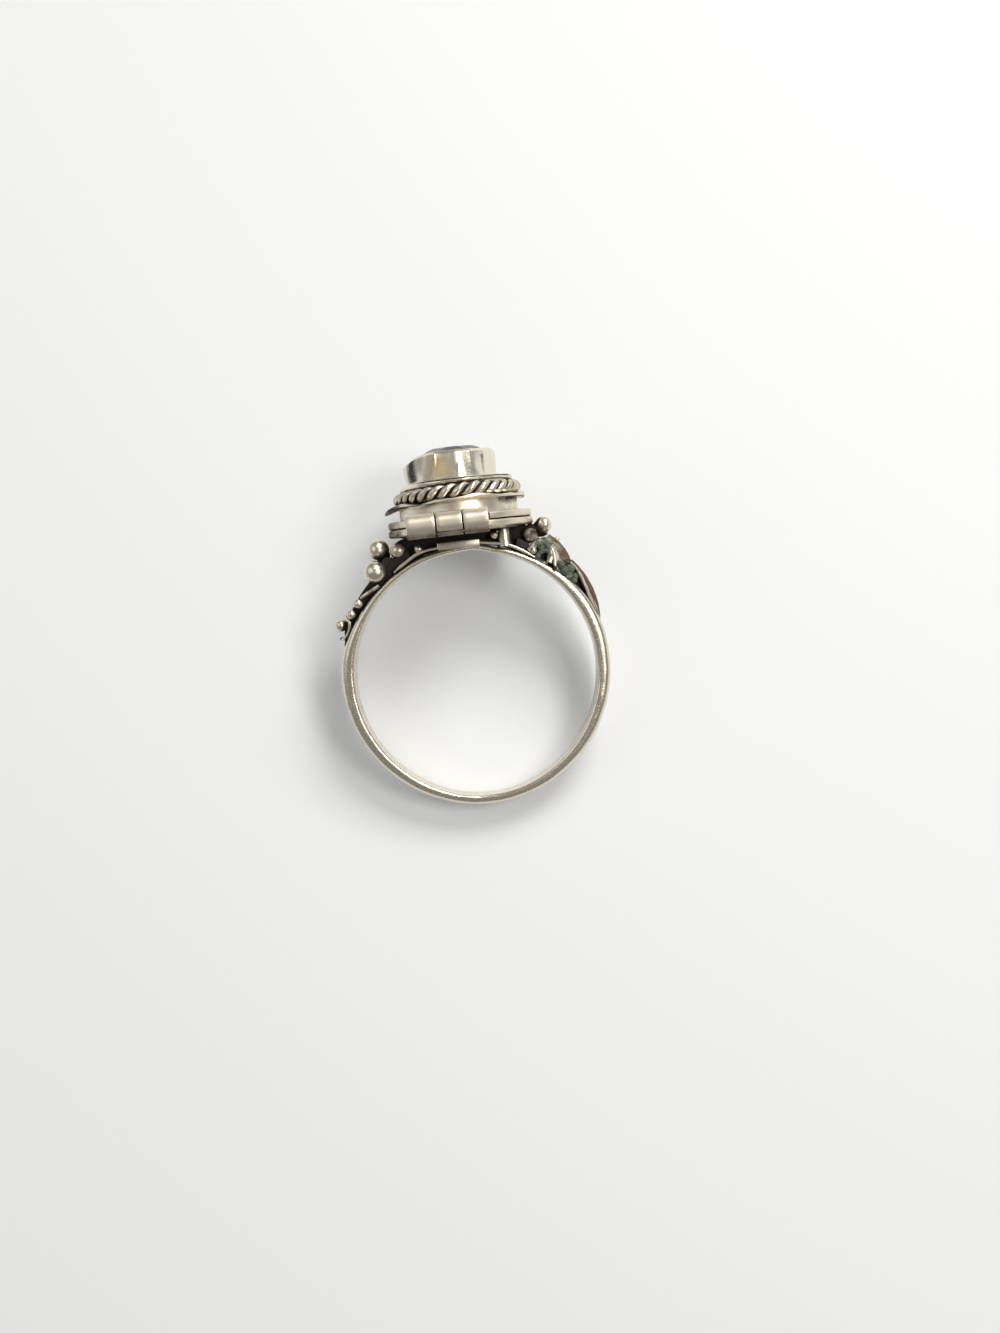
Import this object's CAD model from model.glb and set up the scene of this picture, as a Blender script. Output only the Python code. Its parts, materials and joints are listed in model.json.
import json
import logging
import math
import random
from dataclasses import dataclass
from enum import Enum
from typing import Callable, Iterable, Sequence

import bmesh
import bpy
from bmesh.types import BMesh
from mathutils import Matrix, Vector, noise


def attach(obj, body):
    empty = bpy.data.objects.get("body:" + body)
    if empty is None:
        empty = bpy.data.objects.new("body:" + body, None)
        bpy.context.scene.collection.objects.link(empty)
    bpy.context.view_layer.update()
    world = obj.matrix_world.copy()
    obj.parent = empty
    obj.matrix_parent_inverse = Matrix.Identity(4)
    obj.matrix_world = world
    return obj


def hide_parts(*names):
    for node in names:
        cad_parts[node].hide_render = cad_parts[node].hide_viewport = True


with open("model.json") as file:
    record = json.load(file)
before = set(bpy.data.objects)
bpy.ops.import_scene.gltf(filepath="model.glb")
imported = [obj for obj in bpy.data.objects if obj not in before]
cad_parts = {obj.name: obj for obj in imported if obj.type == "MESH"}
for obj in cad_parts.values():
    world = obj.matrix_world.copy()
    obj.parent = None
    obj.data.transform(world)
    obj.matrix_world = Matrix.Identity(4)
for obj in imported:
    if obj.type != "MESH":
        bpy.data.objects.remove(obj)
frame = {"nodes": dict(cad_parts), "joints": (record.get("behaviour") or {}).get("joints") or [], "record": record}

# A silver locket ring lying on its side on a pale floor, hinge side up. Pieces are drawn in the ring's own
# millimetres, X across the head, Y out through the head and Z along the finger towards the hinge, and are then
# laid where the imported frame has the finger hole.

LOG = logging.getLogger("ring")
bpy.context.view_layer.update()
FULL_TURN = 2 * math.pi
MM_PER_METRE = 1000.0
Point = Sequence[float]
Stains = tuple[float, float, float]
Patina = Callable[[Vector], Stains]


class Body(Enum):
    """The two rigid bodies of the ring."""

    RING = "ring"
    LID = "lid"


class Shading(Enum):
    """How a piece's surface is shaded, as the largest angle that stays smooth."""

    SOFT = 60.0
    CRISP = 32.0


@dataclass(frozen=True)
class RingFrame:
    """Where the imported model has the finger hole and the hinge.

    Args:
        hole: centre of the finger hole, in metres.
        finger: direction of the finger, towards the hinge side.
        hinge: a point on the hinge axis, in metres.
    """

    hole: Vector
    finger: Vector
    hinge: Vector

    @classmethod
    def from_record(cls, record: dict, joints: list[dict]) -> "RingFrame":
        """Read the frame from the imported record's finger mount and lid joint."""
        mount = next(m for m in record["mounts"] if m["name"] == "finger_hole")
        joint = next(j for j in joints if j["name"] == "lid_hinge")
        return cls(Vector(mount["pos_m"]), Vector(mount["axis"]).normalized(), Vector(joint["pos_m"]))

    @property
    def across(self) -> Vector:
        """Direction across the head."""
        return Vector((1, 0, 0))

    @property
    def outward(self) -> Vector:
        """Direction from the hole's centre out through the head."""
        return self.finger.cross(self.across)

    @property
    def to_world(self) -> Matrix:
        """Matrix from the ring's millimetres to the frame's metres."""
        axes = Matrix((self.across, self.outward, self.finger)).transposed().to_4x4()
        return Matrix.Translation(self.hole) @ axes @ Matrix.Scale(1 / MM_PER_METRE, 4)

    @property
    def hinge_line(self) -> tuple[float, float]:
        """Height and distance along the finger of the hinge axis, in the ring's millimetres."""
        local = self.to_world.inverted() @ self.hinge
        return local.y, local.z


def on_circle(distance: float, degrees: float, along: float = 0.0) -> Vector:
    """Point at a distance from the hole's centre, turned from the head towards +X."""
    angle = math.radians(degrees)
    return Vector((distance * math.sin(angle), distance * math.cos(angle), along))


def round_hole(place: Vector) -> tuple[float, float]:
    """Distance of a point from the finger's axis, and its angle from the head in degrees."""
    return math.hypot(place.x, place.y), math.degrees(math.atan2(place.x, place.y))


@dataclass(frozen=True)
class Ramp:
    """A smooth step between two values.

    Args:
        low, high: the values where it starts and ends.
        most: its height.
    """

    low: float
    high: float
    most: float = 1.0

    def rise(self, value: float) -> float:
        """Share from 0 at low to 1 at high."""
        share = min(1.0, max(0.0, (value - self.low) / (self.high - self.low)))
        return share * share * (3 - 2 * share)

    def up(self, value: float) -> float:
        """Height that grows to its most at high."""
        return self.most * self.rise(value)

    def down(self, value: float) -> float:
        """Height that falls to 0 at high."""
        return self.most * (1 - self.rise(value))


@dataclass(frozen=True)
class Hill:
    """A smooth hill.

    Args:
        centre: the value where it is highest.
        reach: how far from there it dies out.
        most: its height.
    """

    centre: float
    reach: float
    most: float = 1.0

    def at(self, value: float) -> float:
        """Height at a value."""
        return Ramp(0.0, self.reach, self.most).down(abs(value - self.centre))


def rounded_outline(corners: Iterable[tuple[float, float, float]], steps: int) -> list[tuple[float, float]]:
    """Round the corners of a closed outline.

    Args:
        corners: x, y and rounding radius of each corner, in order.
        steps: number of short sides on each rounded corner.

    Returns:
        The points of the outline.
    """
    points: list[tuple[float, float]] = []
    count = len(corners)
    for i, (x, y, radius) in enumerate(corners):
        here = Vector((x, y))
        if radius <= 0:
            points.append((x, y))
            continue
        before = (Vector(corners[i - 1][:2]) - here).normalized()
        after = (Vector(corners[(i + 1) % count][:2]) - here).normalized()
        half = before.angle(after) / 2
        centre = here + (before + after).normalized() * (radius / math.sin(half))
        start = here + before * (radius / math.tan(half)) - centre
        end = here + after * (radius / math.tan(half)) - centre
        turn = start.angle_signed(end)
        for k in range(steps + 1):
            arm = start.copy()
            arm.rotate(Matrix.Rotation(-turn * k / steps, 2))
            points.append(tuple(centre + arm))
    return points


def strip_section(inner: float, outer: float, half: float, roundings: tuple[float, float],
                  steps: int) -> list[tuple[float, float]]:
    """Section of a strip round the finger, as (radius, along the finger).

    Args:
        inner, outer: radius of its inside and outside.
        half: half its width.
        roundings: rounding of its inner and outer edges.
        steps: number of short sides on each rounded edge.

    Returns:
        The points of the section.
    """
    within, without = roundings
    return rounded_outline([(inner, -half, within), (inner, half, within), (outer, half, without),
                            (outer, -half, without)], steps)


def move_all(bm: BMesh, shape: Callable[[Vector], Vector]) -> None:
    """Send every vertex to the place that a function gives it."""
    for vert in bm.verts:
        vert.co = shape(vert.co)


def hand_worked(bm: BMesh, amount: float, scale: float, seed: float) -> None:
    """Push a surface in and out a little, as handwork leaves it."""
    offset = Vector((seed, 1.7 * seed, -seed))
    bm.normal_update()
    for vert in bm.verts:
        vert.co += vert.normal * (amount * noise.noise(vert.co * scale + offset))


def tidy(bm: BMesh, distance: float = 1e-4) -> None:
    """Merge doubles and point all the faces outwards."""
    bmesh.ops.remove_doubles(bm, verts=bm.verts, dist=distance)
    bmesh.ops.recalc_face_normals(bm, faces=bm.faces)


def merge(bm: BMesh, part: BMesh) -> None:
    """Add one mesh to another; the part is used up."""
    scratch = bpy.data.meshes.new("part")
    part.to_mesh(scratch)
    part.free()
    bm.from_mesh(scratch)
    bpy.data.meshes.remove(scratch)


def lathe(outline: Sequence[tuple[float, float]], steps: int, closed: bool = False) -> BMesh:
    """Spin an outline of (reach, height) round the head's axis.

    Args:
        outline: points of the outline, in order.
        steps: number of steps of the full turn.
        closed: whether the last point joins the first.

    Returns:
        The turned mesh.
    """
    bm = bmesh.new()
    verts = [bm.verts.new((reach, height, 0.0)) for reach, height in outline]
    ends = verts[1:] + verts[:1] if closed else verts[1:]
    edges = [bm.edges.new(pair) for pair in zip(verts, ends)]
    bmesh.ops.spin(bm, geom=verts + edges, cent=(0, 0, 0), axis=(0, 1, 0), angle=FULL_TURN, steps=steps,
                   use_merge=True)
    tidy(bm)
    return bm


def make_oval(bm: BMesh, extra: float) -> None:
    """Stretch a round mesh along the finger, by the same extra reach at every size.

    Args:
        bm: the round mesh, about the head's axis.
        extra: how much further the oval reaches along the finger than across the hand.
    """
    full_reach = 3.0

    def stretched(place: Vector) -> Vector:
        reach = math.hypot(place.x, place.z)
        if reach < 1e-6:
            return place
        longer = 1 + extra * min(1.0, reach / full_reach) / reach
        return Vector((place.x, place.y, place.z * longer))

    move_all(bm, stretched)


def hoop(outline: Sequence[tuple[float, float]], start: float, end: float, steps: int) -> BMesh:
    """Spin an outline of (radius, along the finger) round the finger hole.

    Args:
        outline: points of the closed outline.
        start: first angle from the head, in degrees.
        end: last angle; a full turn closes on itself.
        steps: number of steps.

    Returns:
        The closed hoop, or a stretch of it with flat ends.
    """
    bm = bmesh.new()
    verts = [bm.verts.new(on_circle(radius, start, along)) for radius, along in outline]
    full = abs(end - start) >= 360
    edges = [bm.edges.new(pair) for pair in zip(verts, verts[1:] + verts[:1])]
    geom = verts + edges
    if not full:
        geom.append(bm.faces.new(verts))
    bmesh.ops.spin(bm, geom=geom, cent=(0, 0, 0), axis=(0, 0, -1), angle=math.radians(end - start), steps=steps,
                   use_merge=full)
    tidy(bm)
    return bm


def add_ball(bm: BMesh, centre: Vector, radius: float, seed: float) -> None:
    """Add one granule, melted not quite round."""
    large, unevenness, lumps_across = 0.4, 0.05, 0.9
    made = bmesh.ops.create_icosphere(bm, subdivisions=4 if radius > large else 3, radius=radius)
    lumps = Vector((seed, -seed, 2 * seed))
    for vert in made["verts"]:
        uneven = 1 + unevenness * noise.noise(vert.co * (lumps_across / radius) + lumps)
        vert.co = centre + vert.co * uneven


def add_bar(bm: BMesh, start: Vector, end: Vector, radius: float, end_radius: float = -1.0) -> None:
    """Add one round bar between two points."""
    line = end - start
    turn = line.to_track_quat("Z", "Y").to_matrix().to_4x4()
    place = Matrix.Translation((start + end) / 2) @ turn
    bmesh.ops.create_cone(bm, cap_ends=True, segments=32, radius1=radius,
                          radius2=radius if end_radius < 0 else end_radius, depth=line.length, matrix=place)


def add_cross_bar(bm: BMesh, distance: float, degrees: float, half: float, radius: float) -> None:
    """Add one round bar along the finger, through a point given by its distance and angle."""
    add_bar(bm, on_circle(distance, degrees, -half), on_circle(distance, degrees, half), radius)


def add_block(bm: BMesh, low: Point, high: Point, bevel: float) -> None:
    """Add one block between two corners, with eased edges."""
    size = [b - a for a, b in zip(low, high)]
    middle = [(a + b) / 2 for a, b in zip(low, high)]
    place = Matrix.Translation(middle) @ Matrix.Diagonal((*size, 1))
    made = bmesh.ops.create_cube(bm, size=1.0, matrix=place)
    edges = list({edge for vert in made["verts"] for edge in vert.link_edges})
    bmesh.ops.bevel(bm, geom=edges, offset=bevel, offset_type="OFFSET", segments=3, profile=0.5, affect="EDGES",
                    material=-1)


def add_wire(bm: BMesh, route: Sequence[Vector], radius: float) -> None:
    """Add one round wire through a few points, swept smoothly and closed at its ends.

    Args:
        bm: mesh that the wire is added to.
        route: the points of the wire's path.
        radius: half the wire's thickness.
    """
    sides, steps, thin_end = 10, 6, 0.6
    path: list[Vector] = []
    padded = [route[0]] + list(route) + [route[-1]]
    for i in range(len(route) - 1):
        a, b, c, d = padded[i:i + 4]
        for k in range(steps):
            s = k / steps
            path.append(0.5 * ((2 * b) + (c - a) * s + (2 * a - 5 * b + 4 * c - d) * s ** 2
                               + (3 * b - a - 3 * c + d) * s ** 3))
    path.append(route[-1])
    loops = []
    for i, place in enumerate(path):
        heading = (path[min(i + 1, len(path) - 1)] - path[max(i - 1, 0)]).normalized()
        turn = heading.to_track_quat("Z", "Y").to_matrix().to_4x4()
        taper = 1.0 if 0 < i < len(path) - 1 else thin_end
        ring = bmesh.ops.create_circle(bm, cap_ends=i in (0, len(path) - 1), segments=sides,
                                       radius=radius * taper, matrix=Matrix.Translation(place) @ turn)
        loops.append(list({edge for vert in ring["verts"] for edge in vert.link_edges}))
    for before, after in zip(loops, loops[1:]):
        bmesh.ops.bridge_loops(bm, edges=before + after)


def clean_silver(_: Vector) -> Stains:
    """Patina of a surface with no stain."""
    return 0.0, 0.0, 0.0


@dataclass(frozen=True)
class Granule:
    """Two granules that face each other across the band, or one on its middle line.

    Args:
        distance: distance of the centres from the hole's centre.
        degrees: angle of the centres from the head.
        radius: radius of each.
        spacing: distance from the middle line to each centre, or 0 for one granule.
    """

    distance: float
    degrees: float
    radius: float
    spacing: float

    def add(self, bm: BMesh, side: int, seed: float) -> None:
        """Add the granules on one side of the head."""
        for along in sorted({-self.spacing, self.spacing}):
            add_ball(bm, on_circle(self.distance, side * self.degrees, along), self.radius, seed + along)

    def gap(self, place: Vector, side: int) -> float:
        """Distance of a point from the nearer centre."""
        nearer = math.copysign(self.spacing, place.z)
        return (place - on_circle(self.distance, side * self.degrees, nearer)).length


@dataclass(frozen=True)
class Scroll:
    """One wire, bent alike on both sides of the middle line.

    Args:
        radius: half its thickness.
        route: distance from the hole's centre, angle from the head and distance from the middle line of each point.
    """

    radius: float
    route: tuple[tuple[float, float, float], ...]

    def add(self, bm: BMesh, side: int, along: int) -> None:
        """Add the wire on one side of the head and of the middle line."""
        add_wire(bm, [on_circle(distance, side * degrees, along * spacing)
                      for distance, degrees, spacing in self.route], self.radius)


@dataclass
class Shade:
    """A shader socket that takes part in Python arithmetic.

    Args:
        tree: the node tree that new nodes go to.
        socket: the socket that holds the value.
    """

    tree: "ShaderTree"
    socket: bpy.types.NodeSocket

    def _math(self, operation: str, first: "Shade | float", second: "Shade | float") -> "Shade":
        """Add one Math node."""
        return self.tree.node("ShaderNodeMath", {"operation": operation}, {0: first, 1: second})

    def __add__(self, other: "Shade | float") -> "Shade":
        """Sum."""
        return self._math("ADD", self, other)

    def __sub__(self, other: "Shade | float") -> "Shade":
        """Difference."""
        return self._math("SUBTRACT", self, other)

    def __rsub__(self, other: "Shade | float") -> "Shade":
        """Difference from a number."""
        return self._math("SUBTRACT", other, self)

    def __mul__(self, other: "Shade | float") -> "Shade":
        """Product."""
        return self._math("MULTIPLY", self, other)

    def step(self, ramp: Ramp) -> "Shade":
        """Smooth step along a ramp."""
        settings = {"interpolation_type": "SMOOTHSTEP"}
        return self.tree.node("ShaderNodeMapRange", settings,
                              {0: self, 1: ramp.low, 2: ramp.high, 3: 0.0, 4: ramp.most})

    def uneven(self, *parts: tuple["Shade", float]) -> "Shade":
        """The value with some noises added, each with its weight."""
        value = self
        for cloudy, weight in parts:
            value = value + (cloudy - 0.5) * weight
        return value

    def larger(self, other: "Shade | float") -> "Shade":
        """The larger of two values."""
        return self._math("MAXIMUM", self, other)


@dataclass(frozen=True)
class Grain:
    """One noise of a finish.

    Args:
        scale: its lumps a millimetre.
        detail: how many finer noises it carries.
        rough: how strong those are.
        stretch: how much denser it is along each axis.
    """

    scale: float
    detail: float
    rough: float = 0.55
    stretch: Point = (1, 1, 1)


class ShaderTree:
    """One material's nodes, with the few calls that the finishes need."""

    def __init__(self, name: str) -> None:
        """Start an empty material with its output."""
        self.material = bpy.data.materials.new(name)
        self.material.use_nodes = True
        self.nodes = self.material.node_tree.nodes
        self.links = self.material.node_tree.links
        self.nodes.clear()
        self.output = self.nodes.new("ShaderNodeOutputMaterial")

    def node(self, kind: str, settings: dict, inputs: dict, output: int = 0) -> Shade:
        """Add one node.

        Args:
            kind: Blender's name for the node.
            settings: the node's properties.
            inputs: values or shades by socket name or number.
            output: number of the output that is wanted.

        Returns:
            The chosen output.
        """
        made = self.nodes.new(kind)
        for key, value in settings.items():
            setattr(made, key, value)
        for key, value in inputs.items():
            if isinstance(value, Shade):
                self.links.new(value.socket, made.inputs[key])
            else:
                made.inputs[key].default_value = value
        return Shade(self, made.outputs[output])

    def mix(self, factor: Shade, first: Shade | Point, second: Shade | Point) -> Shade:
        """Mix two colours."""
        def full(colour: Shade | Point) -> Shade | tuple:
            return colour if isinstance(colour, Shade) else (*colour, 1.0)

        return self.node("ShaderNodeMix", {"data_type": "RGBA"}, {0: factor, 6: full(first), 7: full(second)}, 2)

    def millimetres(self) -> Shade:
        """The object's own coordinates, in millimetres."""
        place = self.node("ShaderNodeTexCoord", {}, {}, 3)
        return self.node("ShaderNodeVectorMath", {"operation": "SCALE"}, {0: place, "Scale": MM_PER_METRE})

    def noise(self, place: Shade, grain: Grain) -> Shade:
        """Cloudy noise at a place."""
        moved = self.node("ShaderNodeMapping", {}, {0: place, "Scale": grain.stretch})
        return self.node("ShaderNodeTexNoise", {}, {
            "Vector": moved, "Scale": grain.scale, "Detail": grain.detail, "Roughness": grain.rough})

    def relief(self, height: Shade, strength: float, depth: float) -> Shade:
        """Bumped normal of a height, with its depth in metres."""
        return self.node("ShaderNodeBump", {}, {"Strength": strength, "Distance": depth, "Height": height})

    def finish(self, colour: Shade, roughness: Shade | float, metallic: Shade | float, normal: Shade | None,
               **constants: float | Point) -> bpy.types.Material:
        """Close the material with one Principled shader."""
        inputs: dict = {"Base Color": colour, "Roughness": roughness, "Metallic": metallic}
        if normal is not None:
            inputs["Normal"] = normal
        inputs.update({key.replace("_", " "): value for key, value in constants.items()})
        shader = self.node("ShaderNodeBsdfPrincipled", {}, inputs)
        self.links.new(shader.socket, self.output.inputs[0])
        return self.material


@dataclass(frozen=True)
class SilverFinish:
    """Old sterling silver: bright where it is rubbed, blackened in its recesses.

    Args:
        name: the material's name.
        bright: colour of the rubbed metal.
        dull: colour of the toned metal.
        tone: share of the surface that is toned, from 0 to 1.
        roughness: roughness of the rubbed metal.
        recess: how far from a wall the blackening reaches, in millimetres.
        blackening: how strongly the recesses are blackened.
        scratches: depth of the scratches, as bump strength.
        dents: depth of the broad dents, as bump strength.
        brown: colour of the brown stains.
        stain_cover: how far the brown stains cover the metal's shine.
        dirt_shine: how much the dirt on the metal shines.
    """

    name: str
    bright: Point = (0.77, 0.70, 0.575)
    dull: Point = (0.345, 0.29, 0.205)
    tone: float = 0.35
    roughness: float = 0.27
    recess: float = 0.7
    blackening: float = 1.0
    scratches: float = 0.18
    dents: float = 0.15
    brown: Point = (0.100, 0.052, 0.024)
    stain_cover: float = 0.7
    dirt_shine: float = 0.25

    OXIDE = (0.014, 0.010, 0.007)
    VERDIGRIS = (0.130, 0.150, 0.115)
    DARK_VERDIGRIS = (0.048, 0.068, 0.056)
    CLOUD = Grain(0.55, 4.0)
    GRIT = Grain(7.0, 5.0, 0.65)
    SPECK = Grain(2.6, 3.0)
    SCRATCH = Grain(3.0, 4.0, 0.6, (1.0, 9.0, 1.6))
    CROSS_SCRATCH = Grain(4.0, 3.0, 0.6, (8.0, 1.0, 3.0))
    HOLLOW_EDGE = Ramp(0.24, 0.56)
    OXIDE_EDGE = Ramp(0.35, 0.75)
    BROWN_EDGE = Ramp(0.02, 0.98)
    GREEN_EDGE = Ramp(0.34, 0.72)
    GREEN_DIRT_EDGE = Ramp(0.4, 0.7)
    GREEN_SHADES = Ramp(0.34, 0.58)
    SKY_SAMPLES = 10
    RELIEF_STRENGTH = 0.26
    RELIEF_DEPTH = 0.00012

    @property
    def toned_edge(self) -> Ramp:
        """Where the toning starts and is full, for the share of the surface that is toned."""
        return Ramp(0.72 - 0.4 * self.tone, 0.86 - 0.25 * self.tone)

    def material(self) -> bpy.types.Material:
        """Make the material."""
        tree = ShaderTree(self.name)
        place = tree.millimetres()
        patina = tree.node("ShaderNodeAttribute", {"attribute_name": "patina"}, {})
        oxide = tree.node("ShaderNodeSeparateColor", {}, {0: patina})
        green, brown = (Shade(tree, oxide.socket.node.outputs[channel]) for channel in (1, 2))
        cloud, grit, speck, scratch, cross_scratch = (tree.noise(place, grain) for grain in (
            self.CLOUD, self.GRIT, self.SPECK, self.SCRATCH, self.CROSS_SCRATCH))

        open_sky = tree.node("ShaderNodeAmbientOcclusion", {"samples": self.SKY_SAMPLES},
                             {"Distance": self.recess / MM_PER_METRE}, 1)
        depth = (1 - open_sky) * self.blackening
        hollow = depth.uneven((speck, 0.24)).step(self.HOLLOW_EDGE)
        black = hollow.larger((oxide * 1.25).uneven((grit, 0.5), (cloud, 0.5)).step(self.OXIDE_EDGE))
        toned = (cloud * 0.7 + grit * 0.3 + depth * 0.5).step(self.toned_edge)

        colour = tree.mix(toned * 0.8, self.bright, self.dull)
        stained = brown.uneven((grit, 0.5), (cloud, 0.4)).step(self.BROWN_EDGE)
        colour = tree.mix(stained, colour, self.brown)
        verdigris = tree.mix(grit.step(self.GREEN_SHADES), self.DARK_VERDIGRIS, self.VERDIGRIS)
        colour = tree.mix(green.uneven((speck, 1.2), (grit, 0.6)).step(self.GREEN_EDGE), colour, verdigris)
        colour = tree.mix(black * 0.985, colour, self.OXIDE)

        green_dirt = green.uneven((speck, 0.9)).step(self.GREEN_DIRT_EDGE)
        dirt = black.larger(green_dirt).larger(stained * self.stain_cover)
        roughness = (toned * 0.16 + dirt * 0.35).uneven((grit, 0.16), (scratch, 0.16)) + self.roughness
        height = (scratch + cross_scratch * 0.6) * self.scratches + grit * 0.03 + cloud * self.dents
        normal = tree.relief(height, self.RELIEF_STRENGTH, self.RELIEF_DEPTH)
        return tree.finish(colour, roughness, 1 - dirt * 0.92, normal, Specular_IOR_Level=self.dirt_shine)


@dataclass(frozen=True)
class StoneFinish:
    """Polished dark violet stone."""

    name: str = "violet_stone"
    deep: Point = (0.018, 0.010, 0.040)
    pale: Point = (0.034, 0.025, 0.052)
    roughness: float = 0.04
    worn_roughness: float = 0.12

    CLOUD = Grain(0.5, 2.0)
    WEAR = Grain(5.0, 4.0, 0.6, (1.0, 4.0, 1.0))
    CLOUD_EDGE = Ramp(0.3, 0.7)
    WEAR_EDGE = Ramp(0.5, 0.9)
    RELIEF_STRENGTH = 0.04
    RELIEF_DEPTH = 0.00005

    def material(self) -> bpy.types.Material:
        """Make the material."""
        tree = ShaderTree(self.name)
        place = tree.millimetres()
        cloud, wear = tree.noise(place, self.CLOUD), tree.noise(place, self.WEAR)
        colour = tree.mix(cloud.step(self.CLOUD_EDGE), self.deep, self.pale)
        normal = tree.relief(wear, self.RELIEF_STRENGTH, self.RELIEF_DEPTH)
        roughness = wear.step(self.WEAR_EDGE) * self.worn_roughness + self.roughness
        return tree.finish(colour, roughness, 0.0, normal, IOR=1.55, Transmission_Weight=0.15,
                           Coat_Weight=0.15, Coat_Roughness=0.03)


@dataclass(frozen=True)
class FloorFinish:
    """Plain pale floor."""

    name: str = "pale_floor"
    colour: Point = (0.62, 0.632, 0.637)
    lighter: Point = (0.68, 0.69, 0.70)
    glow: float = 0.17
    glow_colour: tuple[float, float, float, float] = (0.99, 1.0, 1.0, 1.0)
    cloudiness: float = 0.04
    roughness: float = 0.75

    CLOUD = Grain(0.02, 2.0)

    def material(self) -> bpy.types.Material:
        """Make the material."""
        tree = ShaderTree(self.name)
        cloud = tree.noise(tree.millimetres(), self.CLOUD)
        colour = tree.mix(cloud * self.cloudiness, self.colour, self.lighter)
        return tree.finish(colour, self.roughness, 0.0, None, Emission_Color=self.glow_colour,
                           Emission_Strength=self.glow)


class Bench:
    """Turns meshes drawn in the ring's millimetres into finished pieces in the frame."""

    def __init__(self, ring: RingFrame) -> None:
        """Keep the frame and the materials made so far."""
        self.ring = ring
        self.materials: dict[str, bpy.types.Material] = {}

    def dress(self, finish: SilverFinish | StoneFinish | FloorFinish) -> bpy.types.Material:
        """The material of a finish, made once."""
        if finish.name not in self.materials:
            self.materials[finish.name] = finish.material()
        return self.materials[finish.name]

    def piece(self, name: str, bm: BMesh, body: Body, finish: SilverFinish | StoneFinish,
              stands_for: Iterable[str] = (), patina: Patina = clean_silver,
              shading: Shading = Shading.CRISP) -> None:
        """Finish one piece.

        Args:
            name: the piece's name.
            bm: its mesh, in the ring's millimetres; it is used up.
            body: the body that it moves with.
            finish: its finish.
            stands_for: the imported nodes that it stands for.
            patina: blackening, green and brown stain at a point.
            shading: how its surface is shaded.
        """
        layer = bm.verts.layers.float_color.new("patina")
        for vert in bm.verts:
            vert[layer] = (*patina(vert.co), 1.0)
        bmesh.ops.transform(bm, matrix=self.ring.to_world, verts=bm.verts)
        mesh = bpy.data.meshes.new(name)
        bm.to_mesh(mesh)
        bm.free()
        mesh.shade_smooth()
        mesh.set_sharp_from_angle(angle=math.radians(shading.value))
        mesh.materials.append(self.dress(finish))
        made = bpy.data.objects.new(name, mesh)
        bpy.context.scene.collection.objects.link(made)
        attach(made, body.value)
        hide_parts(*stands_for)
        LOG.info("%s: %d faces, on %s", name, len(mesh.polygons), body.value)


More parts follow.
